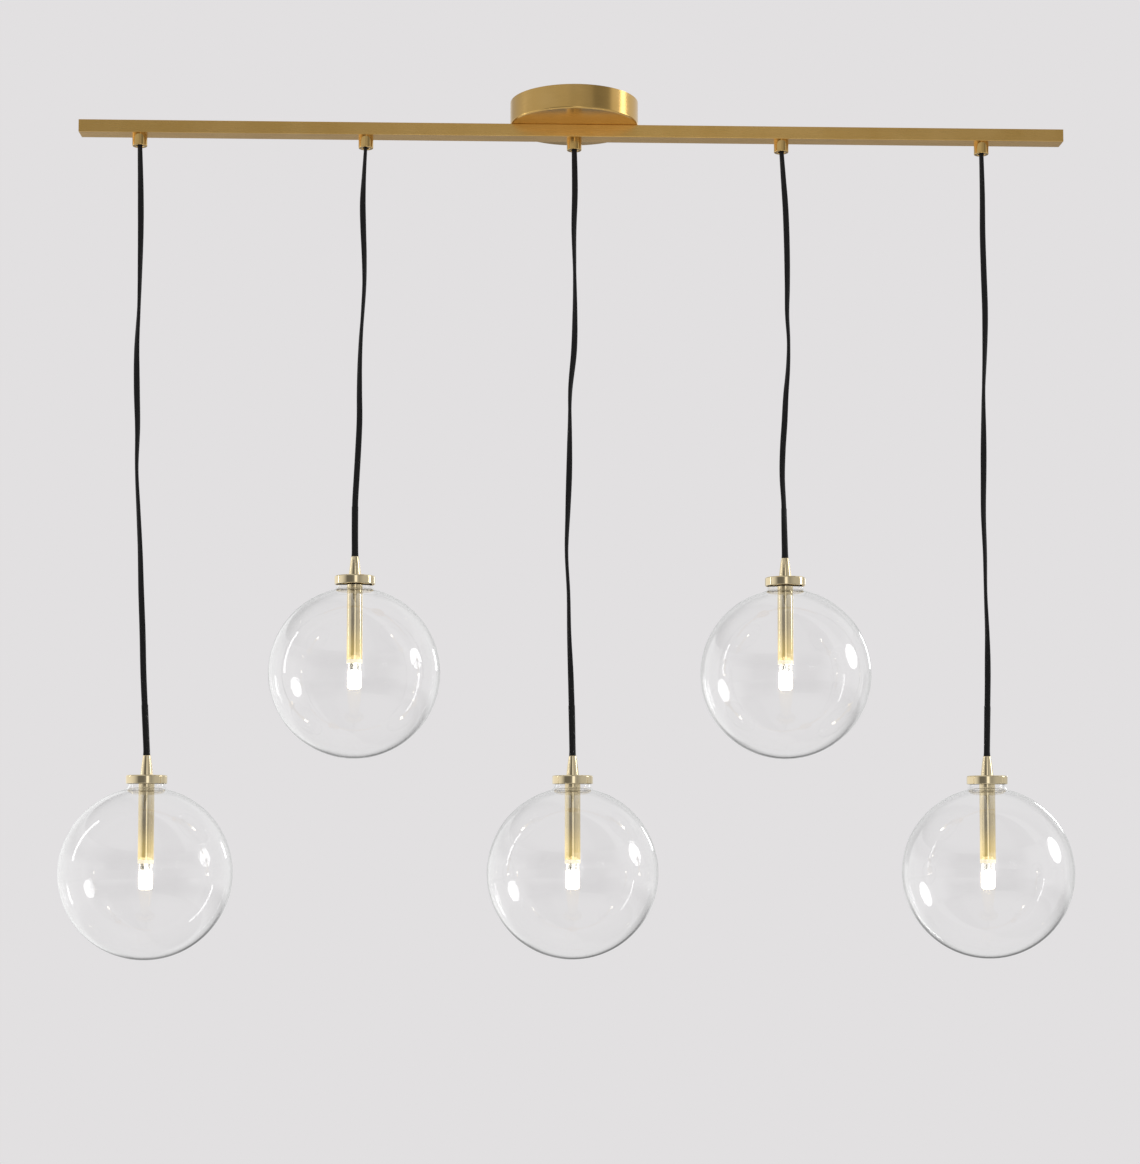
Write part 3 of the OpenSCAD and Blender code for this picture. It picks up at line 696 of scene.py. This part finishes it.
# Where cards hang. One gap is for the softbox on the right, the other is behind the object
hung = walls(tree, spot, [
    (-180, 0), (-157, 0), (-152, ROOM_LEVEL), (80, ROOM_LEVEL), (84, 0), (110, 0), (114, ROOM_LEVEL),
    (138, ROOM_LEVEL), (142, 0), (180, 0)])
shown = maths(tree, "MULTIPLY", hung, mirrored_only(tree))
for end, inside in ((CARDS_TOP, CARDS_TOP - CARDS_TOP_FADE), (CARDS_FOOT, CARDS_FOOT + CARDS_FOOT_FADE)):
    shown = maths(tree, "MULTIPLY", mapped(tree, spot.outputs["Z"], (end, inside)), shown)
lit = add(tree, "ShaderNodeEmission", {"Color": tones, "Strength": ROOM_LEVEL})
gone = add(tree, "ShaderNodeBsdfTransparent")
hanging = add(tree, "ShaderNodeMixShader", {0: shown, 1: gone.outputs["BSDF"], 2: lit.outputs["Emission"]})
surface(tree, hanging.outputs["Shader"])
cards_look.cycles.emission_sampling = "NONE"
bm = bmesh.new()
bmesh.ops.create_cone(bm, cap_ends=False, segments=CARDS_SIDES, radius1=CARDS_R, radius2=CARDS_R,
                      depth=CARDS_TOP - CARDS_FOOT)
bmesh.ops.translate(bm, verts=bm.verts, vec=(0, 0, (CARDS_TOP + CARDS_FOOT) / 2))
cards = finished("studio_cards", bm, cards_look)
cards.visible_camera = cards.visible_diffuse = cards.visible_shadow = False

# The studio round them: a pale backdrop, which the camera sees and glass shows, and a plain room for the rest
BACKDROP = "#E2E0E1"
FILL_LEVEL = 0.85
world = bpy.data.worlds.new("studio")
scene.world = world
world.use_nodes = True
world.cycles.sampling_method = "NONE"
tree = world.node_tree
tree.nodes.clear()
toward = add(tree, "ShaderNodeSeparateXYZ", {"Vector": add(tree, "ShaderNodeTexCoord").outputs["Generated"]})
above = walls(tree, toward, [
    (-180, 0.75), (-162, 0.7), (-150, 0.5), (-119, 0.56), (-100, 0.6), (-14, 0.58), (-5, 0.44), (20, 0.42),
    (29, 0.4), (35, 0.25), (47, 0.25), (65, 0.31), (70, 0.78), (82, 0.78), (88, 0.58), (125, 0.72), (180, 0.75)])
# The walls fade into the floor between these two slopes of a ray
WALLS_END = -0.14
FLOOR_START = -0.26
down = maths(tree, "MULTIPLY", toward.outputs["Z"], -1.0)
floor = ramp(tree, down, [(0.33, grey(0.2)), (0.6, grey(0.72))])
room = add(tree, "ShaderNodeMixRGB", {
    "Fac": mapped(tree, toward.outputs["Z"], (WALLS_END, FLOOR_START)), "Color1": above, "Color2": floor})
# The pale wall on the left goes on below the cards. Its top edge starts just over the horizon
LEFT_WALL_TOP = 0.08
under_top = maths(tree, "ADD", down, LEFT_WALL_TOP)
low = ramp(tree, under_top, [(0, "#000000"), (0.05, "#FFFFFF"), (0.5, "#FFFFFF"), (0.7, "#000000")])
left = walls(tree, toward, [(-180, 0.3), (-168, 0.3), (-160, 0.98), (-78, 0.98), (-55, 0), (180, 0)])
room = add(tree, "ShaderNodeMixRGB", {
    "Fac": low, "Color1": room.outputs["Color"], "Color2": left}, blend_type="LIGHTEN")
mirrored = add(tree, "ShaderNodeBackground", {"Color": room.outputs["Color"], "Strength": ROOM_LEVEL})
backdrop = add(tree, "ShaderNodeBackground", {"Color": linear(BACKDROP), "Strength": 1.0})
fill = add(tree, "ShaderNodeBackground", {"Color": linear(BACKDROP), "Strength": FILL_LEVEL})
ray = add(tree, "ShaderNodeLightPath")
seen = maths(tree, "MAXIMUM", ray.outputs["Is Camera Ray"], ray.outputs["Is Transmission Ray"])
plain = add(tree, "ShaderNodeMixShader", {0: seen, 1: fill.outputs["Background"], 2: backdrop.outputs["Background"]})
studio = add(tree, "ShaderNodeMixShader", {
    0: mirrored_only(tree), 1: plain.outputs["Shader"], 2: mirrored.outputs["Background"]})
add(tree, "ShaderNodeOutputWorld", {"Surface": studio.outputs["Shader"]})
